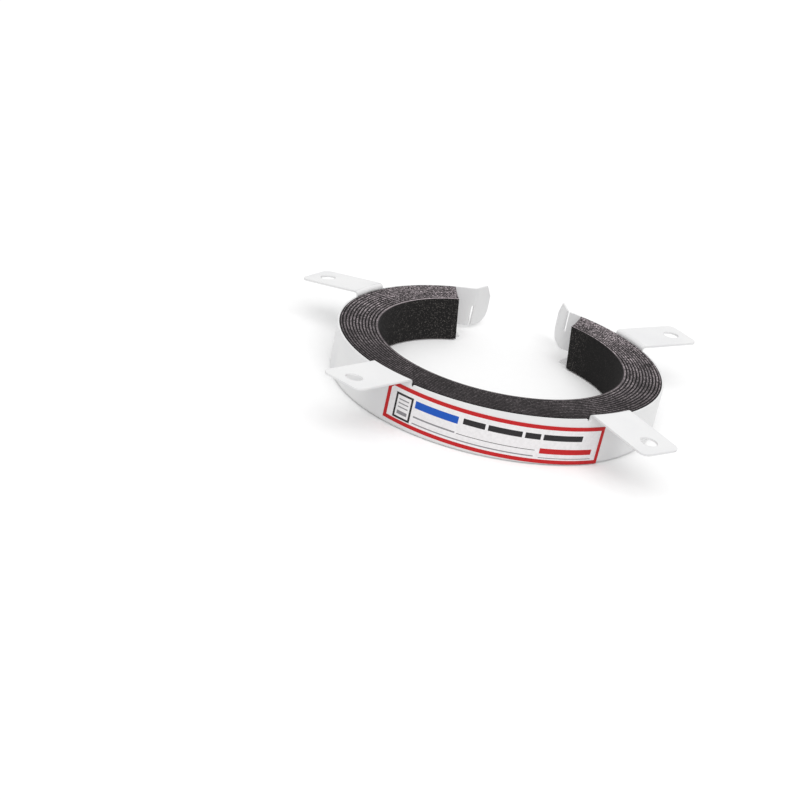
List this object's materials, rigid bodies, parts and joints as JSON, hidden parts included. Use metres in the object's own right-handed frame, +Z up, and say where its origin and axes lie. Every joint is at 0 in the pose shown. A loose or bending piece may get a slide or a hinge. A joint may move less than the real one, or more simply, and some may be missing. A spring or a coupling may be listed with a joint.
{
  "type": "pipe fire collar",
  "caption": "Open C-shaped steel collar with lugs, folded tabs and interlocking hook ends around a pack of intumescent strips; closes round a plastic pipe to seal it in a fire.",
  "frame": {"origin": "on the pipe's axis, level with the upper edges of the strips, just short of the wall or slab", "axes": "+Z along the pipe into the wall or slab, +Y through the mouth between the hooks, +X to the right with the mouth at the back; the collar as shown lies with +Z up"},
  "size_m": [0.2187, 0.21, 0.0295],
  "materials": {
    "powder_coated_steel": "white powder coat on folded sheet steel, satin",
    "intumescent": "dull black graphite-filled strip with granular grey-brown cut edges",
    "printed_label": "white adhesive label with a red border and plain printed bars"
  },
  "bodies": {
    "root": {"collar_band": "powder_coated_steel", "intumescent_strip_01": "intumescent", "intumescent_strip_02": "intumescent", "intumescent_strip_03": "intumescent", "intumescent_strip_04": "intumescent", "intumescent_strip_05": "intumescent", "intumescent_strip_06": "intumescent", "intumescent_strip_07": "intumescent", "intumescent_strip_08": "intumescent", "intumescent_strip_09": "intumescent", "intumescent_strip_10": "intumescent", "intumescent_strip_11": "intumescent", "intumescent_strip_12": "intumescent", "label": "printed_label"}
  },
  "joints": []
}
